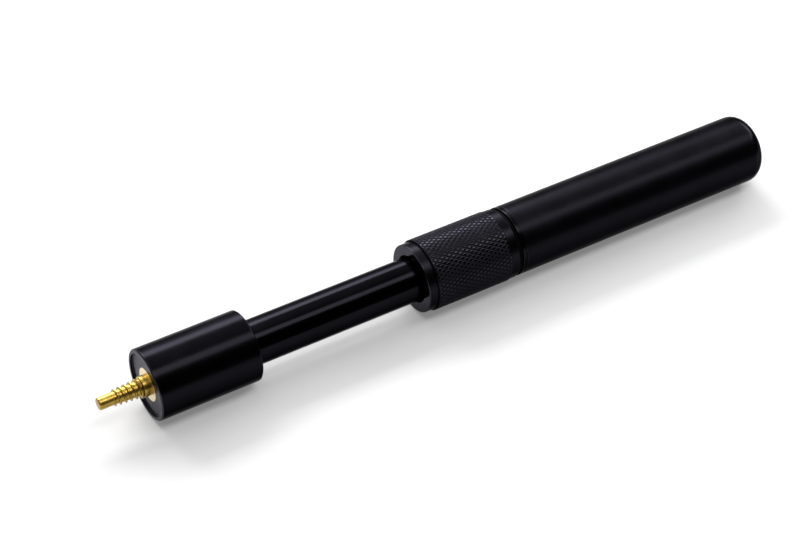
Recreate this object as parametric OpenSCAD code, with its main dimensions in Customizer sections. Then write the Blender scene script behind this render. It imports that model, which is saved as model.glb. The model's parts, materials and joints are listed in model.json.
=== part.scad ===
// Telescopic extension for a billiard cue: a head with a brass joint pin on a sliding rod,
// a knurled collar that locks the rod with a split collet, and a round barrel.
// X runs along the axis from the head's front rim to the rear end. Z is up.
// Sizes are millimetres. The model shows the extension fully drawn out and locked.

/* [Body] */
// Diameter of the head and of the barrel
body_d = 29; // [28:0.5:31]
// Length of the head
head_len = 42.7; // [36:0.1:60]
// Length of the barrel behind the flange ring
barrel_len = 121.4; // [116:0.1:160]
// Radius of the barrel's rounded rear edge
rear_round = 5.5; // [3:0.5:6]
// Small chamfer on the front edge of the head
edge_chamfer = 0.5; // [0.2:0.1:0.8]

/* [Head face] */
// Radius of the recess in the head's front face
recess_r = 12.8; // [12:0.1:13.2]
// Depth of the recess
recess_depth = 0.9; // [0.5:0.1:1.5]
// Radius of the brass disc in the recess
disc_r = 6.8; // [6.5:0.1:8]

/* [Joint pin] */
// How far the pin stands in front of the rim
pin_reach = 19.5; // [17:0.1:22]
// Radius of the plain shoulder
shoulder_r = 4.2; // [4:0.1:4.6]
// How far the shoulder stands in front of the rim
shoulder_reach = 2.8; // [2:0.1:3.5]
// Radius of the pilot tip
pilot_r = 2.5; // [2.2:0.05:2.6]
// Length of the pilot tip
pilot_len = 5.9; // [4:0.1:6]
// Distance from one thread crest to the next
thread_pitch = 2.16; // [1.8:0.02:2.4]
// Radius at the thread crest nearest the head
thread_r = 3.75; // [3.5:0.05:3.9]
// How much the thread's radius falls from the head to the pilot
thread_taper = 0.55; // [0.3:0.05:0.7]
// Depth of the thread
thread_depth = 0.72; // [0.4:0.02:0.76]

/* [Rod] */
// Outer diameter of the sliding rod
rod_d = 18.2; // [17:0.1:18.4]
// Wall of the rod's tube
rod_wall = 1.8; // [1.6:0.1:2]
// Length of rod in view when it is drawn out
rod_open = 74.1; // [60:0.1:76]

/* [Lock collar] */
// Length of the collar
collar_len = 42.1; // [40:0.1:50]
// Diameter over the knurling
knurl_d = 29.8; // [29.4:0.1:31]
// Diameter of the plain band in front of the knurling
front_band_d = 28.5; // [28:0.1:29]
// Diameter of the plain band behind the knurling
rear_band_d = 29.2; // [28.5:0.1:29.4]
// Width of the front band
front_band_w = 3.5; // [3:0.1:5]
// Width of the rear band
rear_band_w = 3.5; // [2:0.1:5]
// Diameter of the mouth that the rod goes through
collar_mouth_d = 20; // [19.6:0.1:20.4]
// Gap between the collar and the flange ring
collar_gap = 1.9; // [1.9:0.1:2.4]
// Width of the flange ring
flange_w = 1.8; // [1.4:0.1:2.4]

/* [Fits] */
// Radial clearance of a sliding or turning fit
running_gap = 0.05; // [0.03:0.01:0.08]
// Axial gap between pieces that move past each other
side_gap = 0.1; // [0.1:0.05:0.2]

/* [Hidden] */
$fn = 96;

anodised = [0.07, 0.07, 0.09];
brass = [0.85, 0.66, 0.32];
steel = [0.70, 0.70, 0.72];
acetal = [0.90, 0.89, 0.85];
rubber = [0.05, 0.05, 0.05];

// Radii
body_r = body_d / 2;
rod_r = rod_d / 2;
rod_bore_r = rod_r - rod_wall;
guide_r = rod_r + running_gap;
knurl_r = knurl_d / 2;
front_band_r = front_band_d / 2;
rear_band_r = rear_band_d / 2;
collar_mouth_r = collar_mouth_d / 2;
barrel_bore_r = 12.2;
sleeve_r = barrel_bore_r - running_gap;
nose_thread_r = 12.4;
collar_thread_r = nose_thread_r + running_gap;
liner_r = 10.2;

// Small edges, and a cut's overrun past the face that it opens
fine_edge = 0.25;
edge = 0.4;
over = 1;

// Places along the axis
x_rod_seat = 22;
x_collar = head_len + rod_open;
x_knurl = x_collar + front_band_w;
x_collar_end = x_collar + collar_len;
x_knurl_end = x_collar_end - rear_band_w;
x_flange = x_collar_end + collar_gap;
x_barrel = x_flange + flange_w;
x_end = x_barrel + barrel_len;

// Brass insert and joint pin
insert_body_r = 6;
insert_flange_w = 2;
insert_end = 9;
pin_shank_r = 3.6;
thread_start = -pin_reach + pilot_len;
thread_turns = floor((-shoulder_reach - thread_start) / thread_pitch);

// Head bolt, M6, which draws the rod into the head
m6_r = 3;
m6_head_r = 5;
m6_head_h = 6;
m6_key_r = 2.9;
m6_washer_r = 5.5;
bolt_wall = 4;
bolt_reach = 14;
washer_t = 1;
x_bolt_head = x_rod_seat - bolt_wall - washer_t - m6_head_h;
front_plug_len = 16;

// Rod tail: retaining ring, washer and M5 screw
nose_spigot_len = 15.4;
stop_ring_t = 1.2;
stop_ring_r = 10.8;
groove_depth = 0.6;
x_stop_ring = x_barrel + nose_spigot_len + side_gap;
guide_sleeve_len = 11;
x_sleeve = x_stop_ring + stop_ring_t + side_gap;
x_rod_end = x_sleeve + guide_sleeve_len + side_gap;
tail_washer_t = 1.4;
tail_washer_r = 10.5;
tail_plug_len = 16;
m5_r = 2.5;
m5_head_r = 4.25;
m5_head_h = 5;
m5_key_r = 2.3;
tail_reach = 14;

// Lock collar and what it clamps
mouth_wall = 4;
collar_groove_w = 0.7;
collar_groove_depth = 0.5;
x_thrust = x_collar + mouth_wall + side_gap;
thrust_t = 1.5;
thrust_r = 11.8;
thrust_bore_r = rod_r + 0.3;
x_collet = x_thrust + thrust_t + side_gap;
collet_len = 12;
collet_r = 11.3;
collet_tail_r = 10.1;
collet_cone_len = 6;
collet_slot_w = 0.8;
collet_slot_len = 9;
collet_slots = 8;
x_collet_cone = x_collet + collet_len - collet_cone_len;
collar_chamber_r = 12;
x_nose = x_collet_cone;
collar_run_out = 1.6;
x_collar_thread = x_nose - collar_run_out;
nose_liner_len = 24;
liner_lip = 1;
x_liner_end = x_barrel + nose_spigot_len - liner_lip;
wiper_t = 2;
wiper_r = 10.8;
x_wiper = x_collar + 1.6;
wiper_bore_r = rod_r + 0.1;

// O-ring in the gap behind the collar
o_ring_r = 0.8;
o_ring_mid_r = nose_thread_r + o_ring_r;
x_o_ring = x_flange - o_ring_r;

// Rear end
rear_wall = 11;
bumper_r = 8;
bumper_depth = 4;
bumper_proud = 0.3;
bumper_well_r = 5.6;
bumper_well = 3.2;
bumper_screw_reach = 9.5;
bumper_washer_r = 5.2;
bumper_washer_t = 0.8;
bumper_head_h = 2.2;
bumper_head_r = 4.6;
bumper_key_r = 1.8;
bumper_key_depth = 1.4;
x_bumper_well = x_end + bumper_proud - bumper_well;
x_bumper_head = x_bumper_well + bumper_washer_t;

// Turns an outline about the X axis: the outline's x is the radius and its y runs along X
module turned() rotate([0, 90, 0]) rotate_extrude() children();

// Outline of a plain length from a to b, between two radii
module length(a, b, outer_r, inner_r = 0) {
    translate([inner_r, a]) square([outer_r - inner_r, b - a]);
}

// Outline of a cone from radius ra at a to radius rb at b
module cone(a, ra, b, rb) polygon([[0, a], [ra, a], [rb, b], [0, b]]);

// Outline of a plain length with a chamfer c on the outer edge of both ends
module chamfered(a, b, outer_r, inner_r, c) {
    polygon([
        [inner_r, a], [outer_r - c, a], [outer_r, a + c],
        [outer_r, b - c], [outer_r - c, b], [inner_r, b]
    ]);
}

// Hexagon socket of depth h, open towards -X at a, or towards +X when back is true
module socket(a, key_r, h, back = false) {
    translate([back ? a - h : a, 0, 0]) rotate([0, 90, 0]) cylinder(r = key_r, h = h, $fn = 6);
}

// Thread crest and root radii at a place along the taper, 0 at the pilot and 1 at the head
function crest_r(t) = thread_r - thread_taper * (1 - t);
function root_r(t) = crest_r(t) - thread_depth;

// One ridge of the thread: root, crest and root again
function ridge(i) = let (
    a = thread_start + i * thread_pitch,
    t = (i + 0.5) / thread_turns
) [
    [root_r(t), a + 0.25 * thread_pitch],
    [crest_r(t), a + 0.45 * thread_pitch],
    [crest_r(t), a + 0.60 * thread_pitch],
    [root_r(t), a + 0.80 * thread_pitch]
];

// Head, rod and what holds them together
module joint_pin() color(brass) turned() polygon(concat(
    [[0, -pin_reach], [pilot_r - edge, -pin_reach], [pilot_r, -pin_reach + edge]],
    [[pilot_r, thread_start], [root_r(0), thread_start]],
    [for (i = [0 : thread_turns - 1]) each ridge(i)],
    [[root_r(1), -shoulder_reach], [shoulder_r - edge, -shoulder_reach]],
    [[shoulder_r, -shoulder_reach + edge], [shoulder_r, recess_depth]],
    [[pin_shank_r, recess_depth], [pin_shank_r, insert_end], [0, insert_end]]
));

module brass_insert() color(brass) turned() {
    length(recess_depth, recess_depth + insert_flange_w, disc_r, pin_shank_r);
    length(recess_depth + insert_flange_w, insert_end, insert_body_r, pin_shank_r);
}

module head_shell() color(anodised) turned() difference() {
    chamfered(0, head_len, body_r, 0, edge_chamfer);
    length(-over, recess_depth, recess_r);
    length(0, recess_depth + insert_flange_w, disc_r);
    length(0, x_rod_seat - bolt_wall, insert_body_r);
    length(0, x_rod_seat + over, m6_r + running_gap);
    length(x_rod_seat, head_len + over, rod_r);
}

module head_washer() color(steel) turned() {
    length(x_rod_seat - bolt_wall - washer_t, x_rod_seat - bolt_wall, m6_washer_r, m6_r);
}

module head_bolt() color(steel) difference() {
    turned() {
        length(x_bolt_head, x_bolt_head + m6_head_h, m6_head_r);
        length(x_bolt_head + over, x_rod_seat + bolt_reach, m6_r);
    }
    socket(x_bolt_head, m6_key_r, m6_head_h / 2);
}

module rod_front_plug() color(steel) turned() {
    length(x_rod_seat, x_rod_seat + front_plug_len, rod_bore_r, m6_r);
}

module inner_tube() color(anodised) turned() difference() {
    length(x_rod_seat, x_rod_end, rod_r, rod_bore_r);
    length(x_stop_ring, x_stop_ring + stop_ring_t, rod_r + over, rod_r - groove_depth);
}

module tail_plug() color(steel) turned() {
    length(x_rod_end - tail_plug_len, x_rod_end, rod_bore_r, m5_r);
}

module stop_ring() color(steel) turned() {
    length(x_stop_ring, x_stop_ring + stop_ring_t, stop_ring_r, rod_r - groove_depth);
}

module tail_washer() color(steel) turned() {
    length(x_rod_end, x_rod_end + tail_washer_t, tail_washer_r, m5_r);
}

module tail_screw() color(steel) difference() {
    turned() {
        length(x_rod_end - tail_reach, x_rod_end + tail_washer_t + over, m5_r);
        length(x_rod_end + tail_washer_t, x_rod_end + tail_washer_t + m5_head_h, m5_head_r);
    }
    socket(x_rod_end + tail_washer_t + m5_head_h, m5_key_r, m5_head_h / 2, back = true);
}

// Acetal sleeve that turns on the rod's tail and slides in the barrel's bore
module guide_sleeve() color(acetal) turned() {
    chamfered(x_sleeve, x_sleeve + guide_sleeve_len, sleeve_r, guide_r, edge);
}

// Barrel, its threaded nose and the collet
module barrel_tube() color(anodised) turned() difference() {
    union() {
        chamfered(x_barrel, x_end - rear_round, body_r, 0, fine_edge);
        length(x_end - rear_round - over, x_end - rear_round, body_r);
        length(x_end - rear_round - over, x_end, body_r - rear_round);
        translate([body_r - rear_round, x_end - rear_round]) intersection() {
            circle(r = rear_round);
            square(rear_round + over);
        }
    }
    length(x_barrel - over, x_end - rear_wall, barrel_bore_r);
    length(x_end - bumper_depth, x_end + over, bumper_r);
    length(x_end - rear_wall - over, x_end, m5_r);
}

module barrel_nose() color(anodised) turned() difference() {
    union() {
        chamfered(x_nose, x_flange, nose_thread_r, 0, fine_edge);
        length(x_flange - over, x_flange, nose_thread_r);
        chamfered(x_flange, x_barrel, body_r, 0, fine_edge);
        length(x_barrel - over, x_barrel + nose_spigot_len, barrel_bore_r);
    }
    cone(x_nose, collet_r, x_nose + collet_cone_len, collet_tail_r);
    length(x_nose, x_barrel + nose_spigot_len + over, guide_r);
    length(x_liner_end - nose_liner_len, x_liner_end, liner_r);
}

module nose_liner() color(acetal) turned() {
    length(x_liner_end - nose_liner_len, x_liner_end, liner_r, guide_r);
}

module nose_o_ring() color(rubber) turned() translate([o_ring_mid_r, x_o_ring]) circle(r = o_ring_r);

module split_collet() color(acetal) difference() {
    turned() difference() {
        union() {
            length(x_collet, x_collet_cone, collet_r);
            cone(x_collet_cone, collet_r, x_collet + collet_len, collet_tail_r);
        }
        length(x_collet - over, x_collet + collet_len + over, guide_r);
    }
    for (i = [0 : collet_slots - 1]) rotate([i * 360 / collet_slots, 0, 0])
        translate([x_collet + collet_len - collet_slot_len, -collet_slot_w / 2, 0])
            cube([collet_slot_len + over, collet_slot_w, collet_r + over]);
}

module end_bumper() color(rubber) turned() difference() {
    length(x_end - bumper_depth, x_end + bumper_proud, bumper_r);
    length(x_bumper_well, x_end + over, bumper_well_r);
    length(x_end - bumper_depth - over, x_end, m5_r);
}

module bumper_washer() color(steel) turned() {
    length(x_bumper_well, x_bumper_well + bumper_washer_t, bumper_washer_r, m5_r);
}

module bumper_screw() color(steel) difference() {
    turned() {
        length(x_end - bumper_screw_reach, x_bumper_head + 1, m5_r);
        length(x_bumper_head, x_bumper_head + bumper_head_h, bumper_head_r);
    }
    socket(x_bumper_head + bumper_head_h, bumper_key_r, bumper_key_depth, back = true);
}

// Steel washer that carries the collar's thrust to the collet without turning
module thrust_washer() color(steel) turned() {
    length(x_thrust, x_thrust + thrust_t, thrust_r, thrust_bore_r);
}

// Collar that turns on the nose's thread
module lock_collar() color(anodised) turned() difference() {
    union() {
        chamfered(x_collar, x_knurl, front_band_r, 0, edge);
        length(x_knurl - over, x_knurl + over, front_band_r - collar_groove_depth);
        chamfered(x_knurl + collar_groove_w, x_knurl_end, knurl_r, 0, edge);
        chamfered(x_knurl_end - over, x_collar_end, rear_band_r, 0, edge);
    }
    length(x_collar - over, x_collar + mouth_wall + over, collar_mouth_r);
    length(x_wiper, x_wiper + wiper_t, wiper_r);
    length(x_collar + mouth_wall, x_collar_thread, collar_chamber_r);
    length(x_collar_thread, x_collar_end + over, collar_thread_r);
}

module wiper_ring() color(rubber) turned() {
    length(x_wiper, x_wiper + wiper_t, wiper_r, wiper_bore_r);
}

joint_pin();
brass_insert();
head_shell();
head_bolt();
head_washer();
rod_front_plug();
inner_tube();
tail_plug();
stop_ring();
tail_washer();
tail_screw();
guide_sleeve();
barrel_tube();
barrel_nose();
nose_liner();
nose_o_ring();
split_collet();
end_bumper();
bumper_washer();
bumper_screw();
thrust_washer();
lock_collar();
wiper_ring();
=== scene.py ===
import json
import math

import bmesh
import bpy
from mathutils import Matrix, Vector


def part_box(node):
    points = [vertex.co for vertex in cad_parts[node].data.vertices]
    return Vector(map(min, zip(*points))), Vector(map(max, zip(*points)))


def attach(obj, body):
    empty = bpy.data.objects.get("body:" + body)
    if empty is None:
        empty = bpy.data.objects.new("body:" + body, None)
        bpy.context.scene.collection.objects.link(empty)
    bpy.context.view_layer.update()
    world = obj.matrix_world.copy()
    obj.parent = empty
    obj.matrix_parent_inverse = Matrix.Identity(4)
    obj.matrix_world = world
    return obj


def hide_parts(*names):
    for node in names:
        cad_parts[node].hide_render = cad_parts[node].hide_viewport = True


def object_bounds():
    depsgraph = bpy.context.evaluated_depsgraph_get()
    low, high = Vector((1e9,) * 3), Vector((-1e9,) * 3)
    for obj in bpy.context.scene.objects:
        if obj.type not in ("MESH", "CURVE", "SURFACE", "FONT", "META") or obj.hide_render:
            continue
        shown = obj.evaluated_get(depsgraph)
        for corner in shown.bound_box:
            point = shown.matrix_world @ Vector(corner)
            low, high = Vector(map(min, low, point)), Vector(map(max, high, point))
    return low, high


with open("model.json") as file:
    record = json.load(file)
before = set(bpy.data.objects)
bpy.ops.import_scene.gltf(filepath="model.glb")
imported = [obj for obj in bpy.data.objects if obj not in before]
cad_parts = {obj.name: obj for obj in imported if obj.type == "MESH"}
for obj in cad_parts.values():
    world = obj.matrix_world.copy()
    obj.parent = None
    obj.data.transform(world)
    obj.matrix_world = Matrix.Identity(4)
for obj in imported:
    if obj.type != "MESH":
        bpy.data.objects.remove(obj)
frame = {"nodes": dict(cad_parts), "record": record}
cad_low, cad_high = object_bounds()
BODIES = frame["record"]["behaviour"]["bodies"]

# ---------------------------------------------------------------- sizes, in metres

MM = 0.001
SEGMENTS = 240  # faces round a turned piece
STEPS = 5  # faces across a fillet
SUPPORT = 0.04 * MM  # from a fillet to the close point beside it
WORN_FILLET = 1 * MM  # a larger rounding doesn't wear bright
CREASE = 35  # degrees between two faces that still shade as one

SEAM = 0.05 * MM  # gap drawn where one piece is let into another
FINE_EDGE = 0.25 * MM

# Head and insert
HEAD_EDGE = 0.5 * MM  # chamfer at both ends
RECESS_R = 12.8 * MM
RECESS_DEPTH = 0.9 * MM
INSERT_FLANGE = 2.0 * MM
INSERT_R = 6.0 * MM
BOLT_HOLE_R = 3.05 * MM
BOLT_WALL = 4.0 * MM

# Rod
ROD_WALL = 1.8 * MM
STOP_GROOVE = 0.6 * MM

# Collar
COLLAR_MOUTH_R = 10.0 * MM
COLLAR_CHAMBER_R = 12.0 * MM
COLLAR_THREAD_R = 12.45 * MM
CHAMBER_GAP = 0.1 * MM  # from the chamber's floor to the thrust washer
THREAD_LEAD = 1.6 * MM  # from the collar's inner thread to the nose
FRONT_BAND_R = 14.25 * MM
FRONT_BAND_W = 3.5 * MM
GROOVE_W = 0.7 * MM
GROOVE_DEPTH = 0.35 * MM
REAR_BAND_R = 14.6 * MM
REAR_BAND_W = 3.5 * MM

# Knurling: two families of helical grooves
KNURL_STARTS = 46
KNURL_PITCH = 3.15 * MM
KNURL_DEPTH = 0.24 * MM
KNURL_TOP = 0.62  # share of a diamond that stays flat
KNURL_CELLS = 12  # mesh cells to a diamond, each way
KNURL_CHAMFER = 0.35 * MM
KNURL_FADE = 0.5 * MM  # plain strip and run-out at both ends
TOUCH = 0.01 * MM  # two radii this close count as one

# A thread's profile and start, in turns
THREAD_FOOT = 0.27  # half width at the foot
THREAD_FLANK = 0.19
THREAD_START = 0.15

# Joint pin
PILOT_R = 2.5 * MM
PILOT_LENGTH = 5.9 * MM
THREAD_PITCH = 2.16 * MM
THREAD_R = 3.75 * MM
THREAD_TAPER = 0.55 * MM
THREAD_DEPTH = 0.72 * MM
TAPER_REACH = 2.8 * MM  # where the taper ends, in front of the rim
TAPER_RISE = 1.0 * MM  # length over which the crests then rise to the shoulder
THREAD_REACH = 1.7 * MM  # where the thread runs out in the shoulder
RUN_OUT = 0.6 * MM
SHANK_R = 3.6 * MM
THREAD_ROW = 0.07 * MM
THREAD_SEGMENTS = 144
PIN_CHAMFER = 0.4 * MM
DISC_OVERLAP = 0.02 * MM  # the shoulder stands this far proud of the disc's face

# Nose
NOSE_R = 12.4 * MM
FLANGE_GAP = 1.9 * MM  # from the collar to the nose's ring
CONE_R = 11.3 * MM
CONE_END_R = 10.1 * MM
NOSE_LEAD = 0.5 * MM  # plain length in front of the nose's thread
NOSE_RELIEF = 0.9 * MM  # and behind it
NOSE_PITCH = 1.5 * MM
NOSE_DEPTH = 0.7 * MM
NOSE_ROW = 0.1 * MM
NOSE_SEGMENTS = 160
SEAM_GROOVE = 0.3 * MM  # relief between the nose's ring and the barrel

# Barrel and bumper
BORE_R = 12.2 * MM
REAR_ROUND = 5.5 * MM
REAR_STEPS = 10
REAR_WALL = 11 * MM
SCREW_HOLE_R = 2.52 * MM
WELL_R = 5.6 * MM
WELL_DEPTH = 3.2 * MM

O_RING_STEPS = 20  # faces round the section


def extent(node):
    """Where a CAD node starts and ends along X, and its outer radius."""
    low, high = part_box(node)
    return low.x, high.x, high.z


# ---------------------------------------------------------------- mesh making


def new_object(name, data):
    """Adds an object that holds a mesh, lamp or camera to the scene."""
    item = bpy.data.objects.new(name, data)
    bpy.context.scene.collection.objects.link(item)
    return item


def signed_area(corners):
    pairs = zip(corners, corners[1:] + corners[:1])
    return sum(a[0] * b[1] - b[0] * a[1] for a, b in pairs) / 2


def rounded(corners, steps=STEPS):
    """Outline of (x, r, wear) points through (x, r, fillet) corners.

    Each corner is rounded to its fillet, with a close point on both sides of the rounding, so that
    smooth shading stays flat on the long faces. wear is 1 on the rounding of a sharp outer edge.
    """
    turn = 1 if signed_area(corners) > 0 else -1
    outline = []
    for i, (x, r, fillet) in enumerate(corners):
        here = Vector((x, r))
        before = Vector(corners[i - 1][:2]) - here
        after = Vector(corners[(i + 1) % len(corners)][:2]) - here
        if fillet == 0:
            outline.append((x, r, 0.0))
            continue
        half = before.angle(after) / 2
        reach = fillet / math.tan(half)
        centre = here + (before.normalized() + after.normalized()).normalized() * fillet / math.sin(half)
        start = here + before.normalized() * reach - centre
        end = here + after.normalized() * reach - centre
        outer = (before.x * after.y - before.y * after.x) * turn < 0
        worn = 1.0 if outer and fillet < WORN_FILLET else 0.0
        first = math.atan2(start.y, start.x)
        sweep = math.atan2(start.x * end.y - start.y * end.x, start.dot(end))
        if before.length > 2 * (reach + SUPPORT):
            outline.append((*(here + before.normalized() * (reach + SUPPORT)), 0.0))
        for k in range(steps + 1):
            angle = first + sweep * k / steps
            point = centre + fillet * Vector((math.cos(angle), math.sin(angle)))
            outline.append((point.x, point.y, worn))
        if after.length > 2 * (reach + SUPPORT):
            outline.append((*(here + after.normalized() * (reach + SUPPORT)), 0.0))
    return outline


def rows(start, end, r, step):
    """Outline points along a plain length, close enough together to carry a pattern."""
    count = round((end - start) / step)
    return [(start + (end - start) * i / count, r, 0.0) for i in range(count + 1)]


def lathe(name, outline, closed=True, segments=SEGMENTS, shape=None):
    """Turns an outline about the X axis.

    shape(x, r, turn) gives a patterned radius, with turn from 0 to 1. wear is kept per point.
    """
    verts, wear, rings = [], [], []
    for x, r, worn in outline:
        on_axis = r < 1e-9
        ring = []
        for k in range(1 if on_axis else segments):
            turn = k / segments
            radius = shape(x, r, turn) if shape and not on_axis else r
            angle = 2 * math.pi * turn
            ring.append(len(verts))
            verts.append((x, radius * math.cos(angle), radius * math.sin(angle)))
            wear.append(worn)
        rings.append(ring)
    faces = []
    pairs = list(zip(rings, rings[1:] + rings[:1] if closed else rings[1:]))
    for one, two in pairs:
        for k in range(segments):
            quad = [one[k % len(one)], one[(k + 1) % len(one)], two[(k + 1) % len(two)], two[k % len(two)]]
            corners = list(dict.fromkeys(quad))
            if len(corners) > 2:
                faces.append(corners)
    mesh = bpy.data.meshes.new(name)
    mesh.from_pydata(verts, [], faces)
    tidy = bmesh.new()
    tidy.from_mesh(mesh)
    bmesh.ops.recalc_face_normals(tidy, faces=tidy.faces)
    tidy.to_mesh(mesh)
    tidy.free()
    mesh.shade_smooth()
    mesh.set_sharp_from_angle(angle=math.radians(CREASE))
    mesh.attributes.new("wear", "FLOAT", "POINT").data.foreach_set("value", wear)
    return new_object(name, mesh)


def place(piece, node, slot, *materials):
    """Puts a finished piece on its node's body in place of the node."""
    for material in materials:
        piece.data.materials.append(material)
    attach(piece, next(b for b, members in BODIES.items() if node in members))
    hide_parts(node)
    return piece


def paint(piece, index, wanted):
    """Gives the faces that wanted(face) picks the piece's material of that index."""
    for face in piece.data.polygons:
        if wanted(face):
            face.material_index = index


# ---------------------------------------------------------------- materials


def add(tree, kind, inputs=None, **settings):
    """Adds a shader node. An input is a socket to link, or a plain value."""
    node = tree.nodes.new("ShaderNode" + kind)
    for key, value in settings.items():
        setattr(node, key, value)
    for key, value in (inputs or {}).items():
        if isinstance(value, bpy.types.NodeSocket):
            tree.links.new(value, node.inputs[key])
        else:
            node.inputs[key].default_value = value
    return node


def new_material(name):
    material = bpy.data.materials.new(name)
    material.use_nodes = True
    tree = material.node_tree
    return material, tree, tree.nodes["Principled BSDF"]


def lathe_coordinate(tree):
    """A coordinate that grows along a turned side and across a turned face."""
    parts = add(tree, "SeparateXYZ", {"Vector": add(tree, "TexCoord").outputs["Object"]})
    across = add(tree, "CombineXYZ", {"Y": parts.outputs["Y"], "Z": parts.outputs["Z"]})
    radius = add(tree, "VectorMath", {0: across.outputs[0]}, operation="LENGTH").outputs["Value"]
    return add(tree, "Math", {0: parts.outputs["X"], 1: radius}, operation="ADD").outputs[0]


def noise(tree, scale, detail=2.0, roughness=0.5, **inputs):
    """Noise over the object's volume, or over one coordinate when W is given."""
    one = "W" in inputs
    if not one:
        inputs.setdefault("Vector", add(tree, "TexCoord").outputs["Object"])
    values = {"Scale": scale, "Detail": detail, "Roughness": roughness, **inputs}
    node = add(tree, "TexNoise", values, noise_dimensions="1D" if one else "3D")
    return node.outputs[0]


def spread(tree, value, low, high, start=0.3, end=0.7):
    """Maps noise from start..end to low..high."""
    inputs = {"Value": value, "From Min": start, "From Max": end, "To Min": low, "To Max": high}
    return add(tree, "MapRange", inputs, clamp=True).outputs[0]


def blend_colours(tree, share, one, two):
    node = add(tree, "Mix", {0: share}, data_type="RGBA")
    for socket, colour in ((node.inputs[6], one), (node.inputs[7], two)):
        if isinstance(colour, bpy.types.NodeSocket):
            tree.links.new(colour, socket)
        else:
            socket.default_value = (*colour, 1.0)
    return node.outputs[2]


def edge_wear(tree, strength):
    """Patchy wear on rounded outer edges, 0 elsewhere."""
    edge = add(tree, "Attribute", attribute_name="wear").outputs["Fac"]
    patches = spread(tree, noise(tree, 900.0, 4.0), 0.2, 1.0, 0.4, 0.65)
    worn = add(tree, "Math", {0: edge, 1: patches}, operation="MULTIPLY").outputs[0]
    return add(tree, "Math", {0: worn, 1: strength}, operation="MULTIPLY").outputs[0]


def turned_bump(tree, lines, depth, fine=None):
    """Bump of fine turning lines, over a second set of finer ones if given."""
    height = noise(tree, lines, 3.0, 0.6, W=lathe_coordinate(tree))
    bump = add(tree, "Bump", {"Height": height, "Strength": 1.0, "Distance": depth})
    if fine:
        grain = noise(tree, fine, 2.0)
        bump = add(tree, "Bump", {
            "Height": grain, "Strength": 0.5, "Distance": depth, "Normal": bump.outputs[0]})
    return bump.outputs[0]


def turned_grain(tree, shader, strength):
    """Stretches reflections across the turning lines."""
    shader.inputs["Anisotropic"].default_value = strength
    ring = add(tree, "Tangent", direction_type="RADIAL", axis="X")
    tree.links.new(ring.outputs[0], shader.inputs["Tangent"])


# Reflectivity of black anodising: clean, handled and rubbed, and its share at grazing angles
ANODISED_DARK = (0.0052, 0.0051, 0.0064)
ANODISED_LIGHT = (0.0068, 0.0066, 0.0086)
ANODISED_WORN = (0.030, 0.030, 0.036)
GRAZING_TINT = 0.48


def anodised(name, roughness, line_depth, anisotropy=0.0, shine=1.0, grazing=GRAZING_TINT):
    """Black anodised aluminium with turning lines, handling marks and lighter edges."""
    material, tree, shader = new_material(name)
    marks = noise(tree, 70.0, 5.0, 0.62)
    dark, light = ([c * shine for c in colour] for colour in (ANODISED_DARK, ANODISED_LIGHT))
    base = blend_colours(tree, spread(tree, marks, 0.0, 1.0), dark, light)
    colour = blend_colours(tree, edge_wear(tree, 0.6), base, ANODISED_WORN)
    tree.links.new(colour, shader.inputs["Base Color"])
    lines = noise(tree, 2600.0, 3.0, 0.7, W=lathe_coordinate(tree))
    satin = spread(tree, lines, roughness - 0.03, roughness + 0.03)
    smudge = spread(tree, marks, -0.02, 0.04)
    rough = add(tree, "Math", {0: satin, 1: smudge}, operation="ADD").outputs[0]
    tree.links.new(rough, shader.inputs["Roughness"])
    tree.links.new(turned_bump(tree, 5200.0, line_depth, 9000.0), shader.inputs["Normal"])
    shader.inputs["Metallic"].default_value = 1.0
    shader.inputs["Specular Tint"].default_value = (grazing, grazing, grazing, 1.0)
    if anisotropy:
        turned_grain(tree, shader, anisotropy)
    return material


def metal(name, bright, dull, roughness, line_depth, anisotropy=0.0):
    """Bare turned metal: brass or steel, with dull patches and turning lines."""
    material, tree, shader = new_material(name)
    patches = spread(tree, noise(tree, 260.0, 4.0, 0.6), 0.0, 0.7, 0.42, 0.75)
    tree.links.new(blend_colours(tree, patches, bright, dull), shader.inputs["Base Color"])
    lines = noise(tree, 4200.0, 3.0, 0.7, W=lathe_coordinate(tree))
    satin = spread(tree, lines, roughness - 0.04, roughness + 0.06)
    rough = add(tree, "Math", {0: satin, 1: spread(tree, patches, 0.0, 0.05, 0.0, 1.0)}, operation="ADD")
    tree.links.new(rough.outputs[0], shader.inputs["Roughness"])
    tree.links.new(turned_bump(tree, 6000.0, line_depth), shader.inputs["Normal"])
    shader.inputs["Metallic"].default_value = 1.0
    if anisotropy:
        turned_grain(tree, shader, anisotropy)
    return material


def soft_plastic(name, light, dark, roughness, grain, depth, specular=0.3):
    """Rubber or acetal: slightly mottled, with a fine grain."""
    material, tree, shader = new_material(name)
    mottle = spread(tree, noise(tree, 400.0, 4.0, 0.6), 0.0, 1.0)
    tree.links.new(blend_colours(tree, mottle, light, dark), shader.inputs["Base Color"])
    satin = spread(tree, mottle, roughness - 0.05, roughness + 0.08, 0.0, 1.0)
    tree.links.new(satin, shader.inputs["Roughness"])
    bump = add(tree, "Bump", {"Height": noise(tree, grain, 3.0), "Strength": 0.6, "Distance": depth})
    tree.links.new(bump.outputs[0], shader.inputs["Normal"])
    shader.inputs["Specular IOR Level"].default_value = specular
    return material


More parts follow.
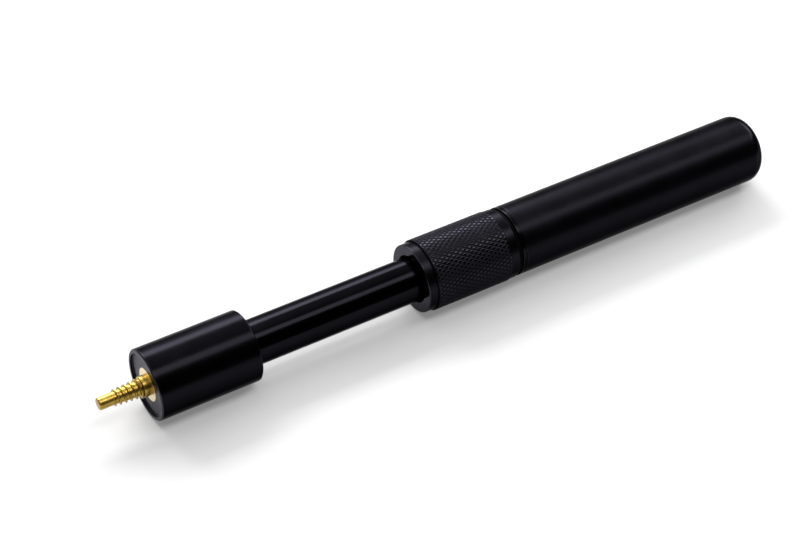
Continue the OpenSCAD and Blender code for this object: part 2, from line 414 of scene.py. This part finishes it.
SIDE = anodised("anodised_side", 0.22, 0.0006 * MM)
BAND = anodised("anodised_band", 0.28, 0.0008 * MM, shine=1.3)
ROD = anodised("anodised_rod", 0.16, 0.0004 * MM)
BARREL = anodised("anodised_barrel", 0.33, 0.0008 * MM, shine=1.1)
FACE = anodised("anodised_face", 0.26, 0.0010 * MM, anisotropy=0.75, shine=8.0, grazing=0.75)
POLISHED = anodised("anodised_polished", 0.12, 0.0002 * MM, shine=7.0, grazing=0.6)
KNURL = anodised("anodised_knurl", 0.08, 0.0002 * MM, shine=2.6)
GROOVES = anodised("anodised_grooves", 0.45, 0.0002 * MM, shine=1.6)
ROUND = anodised("anodised_round", 0.24, 0.0004 * MM, shine=1.8)
BRASS = metal("brass_turned", (0.42, 0.28, 0.06), (0.26, 0.16, 0.02), 0.31, 0.0010 * MM)
BRASS_FACE = metal("brass_face", (0.86, 0.72, 0.45), (0.76, 0.60, 0.34), 0.28, 0.0006 * MM, 0.5)
STEEL = metal("steel_turned", (0.40, 0.40, 0.42), (0.27, 0.27, 0.28), 0.32, 0.0010 * MM)
ACETAL = soft_plastic("acetal_machined", (0.80, 0.79, 0.73), (0.70, 0.69, 0.63), 0.42, 3000.0, 0.004 * MM)
RUBBER = soft_plastic(
    "rubber_black", (0.0006, 0.0006, 0.0007), (0.0012, 0.0012, 0.0012), 0.7, 5000.0, 0.01 * MM, 0.03)

SLOT_MATERIALS = {"anodised": SIDE, "brass": BRASS, "steel": STEEL, "acetal": ACETAL, "rubber": RUBBER}

# ---------------------------------------------------------------- pieces


def saw(t):
    """1 at each whole number, 0 halfway between."""
    return abs(2 * (t - math.floor(t)) - 1)


def smooth(t):
    t = min(max(t, 0.0), 1.0)
    return t * t * (3 - 2 * t)


def make_head():
    start, end, r = extent("head_shell")
    rod_start, _, rod_r = extent("inner_tube")
    disc_r = extent("brass_insert")[2]
    seat = rod_r + SEAM / 2
    outline = rounded([
        (start + RECESS_DEPTH, disc_r + SEAM, 0),
        (start + RECESS_DEPTH, RECESS_R, 0.3 * MM),
        (start, RECESS_R, 0.08 * MM),
        (start, r - HEAD_EDGE, 0.12 * MM),
        (start + HEAD_EDGE, r, 0.3 * MM),
        (end - HEAD_EDGE, r, 0.4 * MM),
        (end, r - HEAD_EDGE, 0.2 * MM),
        (end, seat, 0.1 * MM),
        (rod_start, seat, 0),
        (rod_start, BOLT_HOLE_R, 0),
        (rod_start - BOLT_WALL, BOLT_HOLE_R, 0),
        (rod_start - BOLT_WALL, INSERT_R + SEAM, 0),
        (start + RECESS_DEPTH + INSERT_FLANGE, INSERT_R + SEAM, 0),
        (start + RECESS_DEPTH + INSERT_FLANGE, disc_r + SEAM, 0),
    ])
    head = place(lathe("head_turned", outline), "head_shell", "anodised", SIDE, FACE)
    paint(head, 1, lambda face: abs(face.normal.x) > 0.7 and face.center.x < start + 2 * MM)


def make_rod():
    start, end, r = extent("inner_tube")
    ring_start, ring_end, _ = extent("stop_ring")
    groove = r - STOP_GROOVE
    outline = rounded([
        (start, r - ROD_WALL, 0),
        (start, r, 0.1 * MM),
        (ring_start, r, 0),
        (ring_start, groove, 0),
        (ring_end, groove, 0),
        (ring_end, r, 0),
        (end, r, 0.2 * MM),
        (end, r - ROD_WALL, 0),
    ])
    place(lathe("rod_tube", outline), "inner_tube", "anodised", ROD)


def knurl(x, r, turn, start, end):
    """Radius of the knurled band: diamonds between two families of helical grooves."""
    along = (x - start) / KNURL_PITCH
    around = KNURL_STARTS * turn
    height = min(saw(around + along), saw(around - along)) / (1 - KNURL_TOP)
    ends = smooth(min(x - start, end - x) / KNURL_FADE)
    return r - KNURL_DEPTH * (1 - min(height, 1.0)) * ends


def make_collar():
    start, end, r = extent("lock_collar")
    wiper_start, wiper_end, wiper_r = extent("wiper_ring")
    knurl_start = start + FRONT_BAND_W + GROOVE_W
    knurl_end = end - REAR_BAND_W
    thread_start = extent("barrel_nose")[0] - THREAD_LEAD
    chamber_start = extent("thrust_washer")[0] - CHAMBER_GAP
    front = rounded([
        (thread_start, COLLAR_THREAD_R, 0),
        (thread_start, COLLAR_CHAMBER_R, 0),
        (chamber_start, COLLAR_CHAMBER_R, 0),
        (chamber_start, COLLAR_MOUTH_R, 0),
        (wiper_end, COLLAR_MOUTH_R, 0),
        (wiper_end, wiper_r, 0),
        (wiper_start, wiper_r, 0),
        (wiper_start, COLLAR_MOUTH_R, 0),
        (start, COLLAR_MOUTH_R, 0.2 * MM),
        (start, FRONT_BAND_R, 0.45 * MM),
        (start + FRONT_BAND_W, FRONT_BAND_R, 0.15 * MM),
        (start + FRONT_BAND_W, FRONT_BAND_R - GROOVE_DEPTH, 0.1 * MM),
        (knurl_start, FRONT_BAND_R - GROOVE_DEPTH, 0.1 * MM),
        (knurl_start, r - KNURL_CHAMFER, 0.1 * MM),
        (knurl_start + KNURL_CHAMFER, r, 0.1 * MM),
        (knurl_end - KNURL_CHAMFER, r, 0.1 * MM),
        (knurl_end, r - KNURL_CHAMFER, 0),
        (knurl_end, REAR_BAND_R, 0),
        (end, REAR_BAND_R, 0.15 * MM),
        (end, COLLAR_THREAD_R, 0.2 * MM),
    ])
    band_start, band_end = knurl_start + KNURL_FADE, knurl_end - KNURL_FADE
    split = max(i for i, p in enumerate(front) if p[0] < band_start and p[1] > r - TOUCH) + 1
    band = rows(band_start, band_end, r, KNURL_PITCH / KNURL_CELLS)
    outline = front[:split] + band + front[split:]

    def shape(x, radius, turn):
        inside = band_start <= x <= band_end and radius > r - TOUCH
        return knurl(x, radius, turn, band_start, band_end) if inside else radius

    def in_band(face):
        return band_start < face.center.x < band_end and face.center.yz.length > COLLAR_THREAD_R + 1 * MM

    collar = lathe("collar_knurled", outline, segments=KNURL_STARTS * KNURL_CELLS, shape=shape)
    place(collar, "lock_collar", "anodised", BAND, POLISHED, KNURL, GROOVES)
    paint(collar, 1, lambda face: face.normal.x < -0.7 and face.center.x < start + 1 * MM)
    paint(collar, 2, lambda face: in_band(face) and face.center.yz.length > r - 2 * TOUCH)
    paint(collar, 3, lambda face: in_band(face) and face.center.yz.length <= r - 2 * TOUCH)


def thread(turns, depth_share):
    """Height of a thread's profile, 0 to 1, at a place counted in turns, faded in by depth_share."""
    t = abs(turns - math.floor(turns) - 0.5)
    return smooth((THREAD_FOOT - t) / THREAD_FLANK) * smooth(depth_share)


def make_pin():
    tip, end, shoulder_r = extent("joint_pin")
    start = tip + PILOT_LENGTH
    finish = -THREAD_REACH
    disc = extent("brass_insert")[0]

    def crest(x):
        taper = THREAD_TAPER * (1 - min((x - start) / (-TAPER_REACH - start), 1.0))
        rise = (shoulder_r - THREAD_R) * smooth((x + TAPER_REACH) / TAPER_RISE + 1)
        return THREAD_R - taper + rise

    def shape(x, r, turn):
        if not start < x < finish:
            return r
        height = thread((x - start) / THREAD_PITCH - turn, (x - start) / (THREAD_START * THREAD_PITCH))
        closed = smooth((x - finish) / RUN_OUT + 1)
        return crest(x) - THREAD_DEPTH * (1 - max(height, closed))

    front = rounded([
        (tip, 0, 0),
        (tip, PILOT_R - PIN_CHAMFER, 0.08 * MM),
        (tip + PIN_CHAMFER, PILOT_R, 0.08 * MM),
        (start, PILOT_R, 0),
        (start, crest(start) - THREAD_DEPTH, 0),
    ])
    back = rounded([
        (finish, shoulder_r, 0),
        (disc - DISC_OVERLAP, shoulder_r, 0),
        (disc - DISC_OVERLAP, SHANK_R, 0),
        (end, SHANK_R, 0),
        (end, 0, 0),
    ])
    outline = front + rows(start, finish, THREAD_R, THREAD_ROW)[1:-1] + back
    pin = lathe("pin_threaded", outline, closed=False, segments=THREAD_SEGMENTS, shape=shape)
    place(pin, "joint_pin", "brass", BRASS)


def make_insert():
    start, end, r = extent("brass_insert")
    hole = SHANK_R + SEAM / 2
    outline = rounded([
        (start, hole, 0),
        (start, r, 0.1 * MM),
        (start + INSERT_FLANGE, r, 0),
        (start + INSERT_FLANGE, INSERT_R, 0),
        (end, INSERT_R, 0),
        (end, hole, 0),
    ])
    insert = place(lathe("insert_bush", outline), "brass_insert", "brass", BRASS, BRASS_FACE)
    paint(insert, 1, lambda face: face.normal.x < -0.7 and face.center.x < start + 0.5 * MM)


def make_nose():
    start, end, flange_r = extent("barrel_nose")
    barrel = extent("barrel_tube")[0]
    flange = extent("lock_collar")[1] + FLANGE_GAP
    liner_start, liner_end, liner_r = extent("nose_liner")
    guide = extent("inner_tube")[2] + SEAM
    cone_end = extent("split_collet")[1]
    thread_start, thread_end = start + NOSE_LEAD, flange - NOSE_RELIEF
    front = rounded([
        (cone_end, CONE_END_R, 0),
        (start, CONE_R, 0),
        (start, NOSE_R - FINE_EDGE, 0),
        (start + FINE_EDGE, NOSE_R, 0),
    ])
    back = rounded([
        (flange, NOSE_R, 0.1 * MM),
        (flange, flange_r, FINE_EDGE),
        (barrel - SEAM_GROOVE, flange_r, 0.1 * MM),
        (barrel - SEAM_GROOVE, flange_r - SEAM_GROOVE, 0),
        (barrel, flange_r - SEAM_GROOVE, 0),
        (barrel, BORE_R - SEAM / 2, 0),
        (end, BORE_R - SEAM / 2, 0.2 * MM),
        (end, guide, 0.2 * MM),
        (liner_end, guide, 0),
        (liner_end, liner_r + SEAM / 2, 0),
        (liner_start, liner_r + SEAM / 2, 0),
        (liner_start, guide, 0),
        (cone_end, guide, 0),
    ])

    def shape(x, r, turn):
        if not (thread_start < x < thread_end and r > BORE_R):
            return r
        room = min(x - thread_start, thread_end - x) / NOSE_PITCH
        return r - NOSE_DEPTH * (1 - thread((x - thread_start) / NOSE_PITCH - turn, 1.0)) * smooth(room)

    outline = front + rows(thread_start, thread_end, NOSE_R, NOSE_ROW) + back
    nose = lathe("nose_threaded", outline, segments=NOSE_SEGMENTS, shape=shape)
    place(nose, "barrel_nose", "anodised", SIDE)


def make_barrel():
    start, end, r = extent("barrel_tube")
    bumper_start, _, bumper_r = extent("end_bumper")
    wall = end - REAR_WALL
    outline = rounded([
        (start, BORE_R, 0.1 * MM),
        (start, r, FINE_EDGE),
        (end, r, REAR_ROUND),
        (end, bumper_r + SEAM, 0.15 * MM),
        (bumper_start, bumper_r + SEAM, 0),
        (bumper_start, SCREW_HOLE_R, 0),
        (wall, SCREW_HOLE_R, 0),
        (wall, BORE_R, 0.5 * MM),
    ], steps=REAR_STEPS)
    barrel = place(lathe("barrel_turned", outline), "barrel_tube", "anodised", BARREL, ROUND)

    def on_round(face):
        return face.center.x > end - REAR_ROUND and face.center.yz.length > bumper_r + SEAM

    paint(barrel, 1, on_round)


def make_o_ring():
    start, end, outer = extent("nose_o_ring")
    section = (end - start) / 2
    angles = [2 * math.pi * k / O_RING_STEPS for k in range(O_RING_STEPS)]
    outline = [
        (start + section + section * math.cos(angle), outer - section + section * math.sin(angle), 0.0)
        for angle in angles
    ]
    place(lathe("o_ring", outline), "nose_o_ring", "rubber", RUBBER)


def make_bumper():
    start, end, r = extent("end_bumper")
    well = end - WELL_DEPTH
    outline = rounded([
        (start, SCREW_HOLE_R, 0),
        (start, r, 0.2 * MM),
        (end, r, 0.5 * MM),
        (end, WELL_R, 0.4 * MM),
        (well, WELL_R, 0.1 * MM),
        (well, SCREW_HOLE_R, 0),
    ])
    place(lathe("bumper_rubber", outline), "end_bumper", "rubber", RUBBER)


make_head()
make_rod()
make_collar()
make_pin()
make_insert()
make_nose()
make_barrel()
make_o_ring()
make_bumper()

slots = {part["node"]: part["material_slot"] for part in frame["record"]["subparts"]}
for name, node in frame["nodes"].items():
    node.data.materials.clear()
    node.data.materials.append(SLOT_MATERIALS[slots[name]])

# ---------------------------------------------------------------- floor, light and camera

FLOOR_REACH = 4.0
GLOW_START, GLOW_END = 0.025, 0.11  # distance from the X axis over which the floor's painted glow changes, rising out of a painted contact shadow near the object
LAMP_DISTANCE = 0.8


def make_floor():
    """Pale paper with a painted glow of its own, weaker close to the object as a painted contact shadow
    and weaker behind it as painted shade.
    """
    mesh = bpy.data.meshes.new("floor")
    signs = ((-1, -1), (1, -1), (1, 1), (-1, 1))
    corners = [(x * FLOOR_REACH, y * FLOOR_REACH, cad_low.z) for x, y in signs]
    mesh.from_pydata(corners, [], [(0, 1, 2, 3)])
    floor = new_object("floor", mesh)
    material, tree, shader = new_material("floor_paper_painted_glow")
    tone = spread(tree, noise(tree, 3.0, 2.0), 0.0, 1.0)
    colour = blend_colours(tree, tone, (0.46, 0.46, 0.46), (0.49, 0.49, 0.49))
    tree.links.new(colour, shader.inputs["Base Color"])
    away = add(tree, "SeparateXYZ", {"Vector": add(tree, "TexCoord").outputs["Object"]}).outputs["Y"]
    gap = add(tree, "Math", {0: away}, operation="ABSOLUTE").outputs[0]
    # painted glow: the floor gives off light of its own, weakest near the axis as a painted contact shadow
    painted_glow = spread(tree, gap, 0.21, 0.42, GLOW_START, GLOW_END)
    # painted shade: the glow is lowered behind the object, on the +Y side
    painted_shade_behind = spread(tree, away, 0.0, 0.15, GLOW_START, GLOW_END)
    painted_glow = add(tree, "Math", {0: painted_glow, 1: painted_shade_behind}, operation="SUBTRACT").outputs[0]
    tree.links.new(painted_glow, shader.inputs["Emission Strength"])
    shader.inputs["Emission Color"].default_value = (1.0, 1.0, 1.0, 1.0)
    shader.inputs["Roughness"].default_value = 0.9
    shader.inputs["Specular IOR Level"].default_value = 0.1
    mesh.materials.append(material)


def area_lamp(name, spot, turn, length, width, radiance):
    """A rectangular lamp at spot, with its Euler rotation."""
    lamp = bpy.data.lights.new(name, "AREA")
    lamp.shape = "RECTANGLE"
    lamp.size = length
    lamp.size_y = width
    lamp.energy = radiance * math.pi * length * width
    light = new_object(name, lamp)
    light.location = spot
    light.rotation_euler = turn


def softbox(name, tilt, middle, length, width, radiance):
    """A long lamp over the X axis, tilted from straight above towards -Y, that faces the axis."""
    angle = math.radians(tilt)
    spot = (middle, -LAMP_DISTANCE * math.sin(angle), LAMP_DISTANCE * math.cos(angle))
    area_lamp(name, spot, (angle, 0, 0), length, width, radiance)


def window(name, spot, width, height, radiance):
    """A wide lamp that faces the object's rear end."""
    turn = (cad_high - Vector(spot)).to_track_quat("-Z", "Y").to_euler()
    area_lamp(name, spot, turn, width, height, radiance)


def make_world():
    """A soft sky, dark low down and in front of the object."""
    world = bpy.data.worlds.new("studio")
    bpy.context.scene.world = world
    world.use_nodes = True
    tree = world.node_tree
    direction = add(tree, "SeparateXYZ", {"Vector": add(tree, "TexCoord").outputs["Generated"]})
    behind = spread(tree, direction.outputs["Y"], 0.0, 1.0, -0.35, 0.35)
    high = spread(tree, direction.outputs["Z"], 0.3, 2.2, 0.3, 1.0)
    share = add(tree, "Math", {0: behind, 1: high}, operation="MULTIPLY").outputs[0]
    background = tree.nodes["Background"]
    background.inputs["Color"].default_value = (0.97, 0.97, 1.0, 1.0)
    falling = spread(tree, direction.outputs["X"], 1.5, 0.5, 0.25, 0.5)
    share = add(tree, "Math", {0: share, 1: falling}, operation="MULTIPLY").outputs[0]
    tree.links.new(spread(tree, share, 0.03, 1.2, 0.0, 2.2), background.inputs["Strength"])


def make_camera():
    camera = new_object("camera", bpy.data.cameras.new("camera"))
    camera.location = (-0.2161, -0.5395, 0.5524)
    down, sideways = math.radians(40.73), math.radians(31.27)
    camera.rotation_euler = (math.pi / 2 - down, 0, -sideways)
    camera.data.lens = 95.62
    camera.data.sensor_width = 36.0
    camera.data.clip_start = 0.01
    bpy.context.scene.camera = camera


make_floor()
softbox("back_strip", -51, 0.17, 0.79, 0.28, 14.0)
softbox("back_strip_far", -40, 0.82, 0.52, 0.36, 4.3)
softbox("back_fill", -72, 0.12, 0.70, 0.34, 4.0)
softbox("rear_fill", -14, 1.0, 0.5, 0.3, 2.0)
window("rear_window", (1.2, 0.2, 0.66), 0.7, 0.25, 10.0)
softbox("top_strip", 22, 0.45, 1.3, 0.25, 5.0)
make_world()
make_camera()
bpy.context.scene.view_settings.view_transform = "Standard"
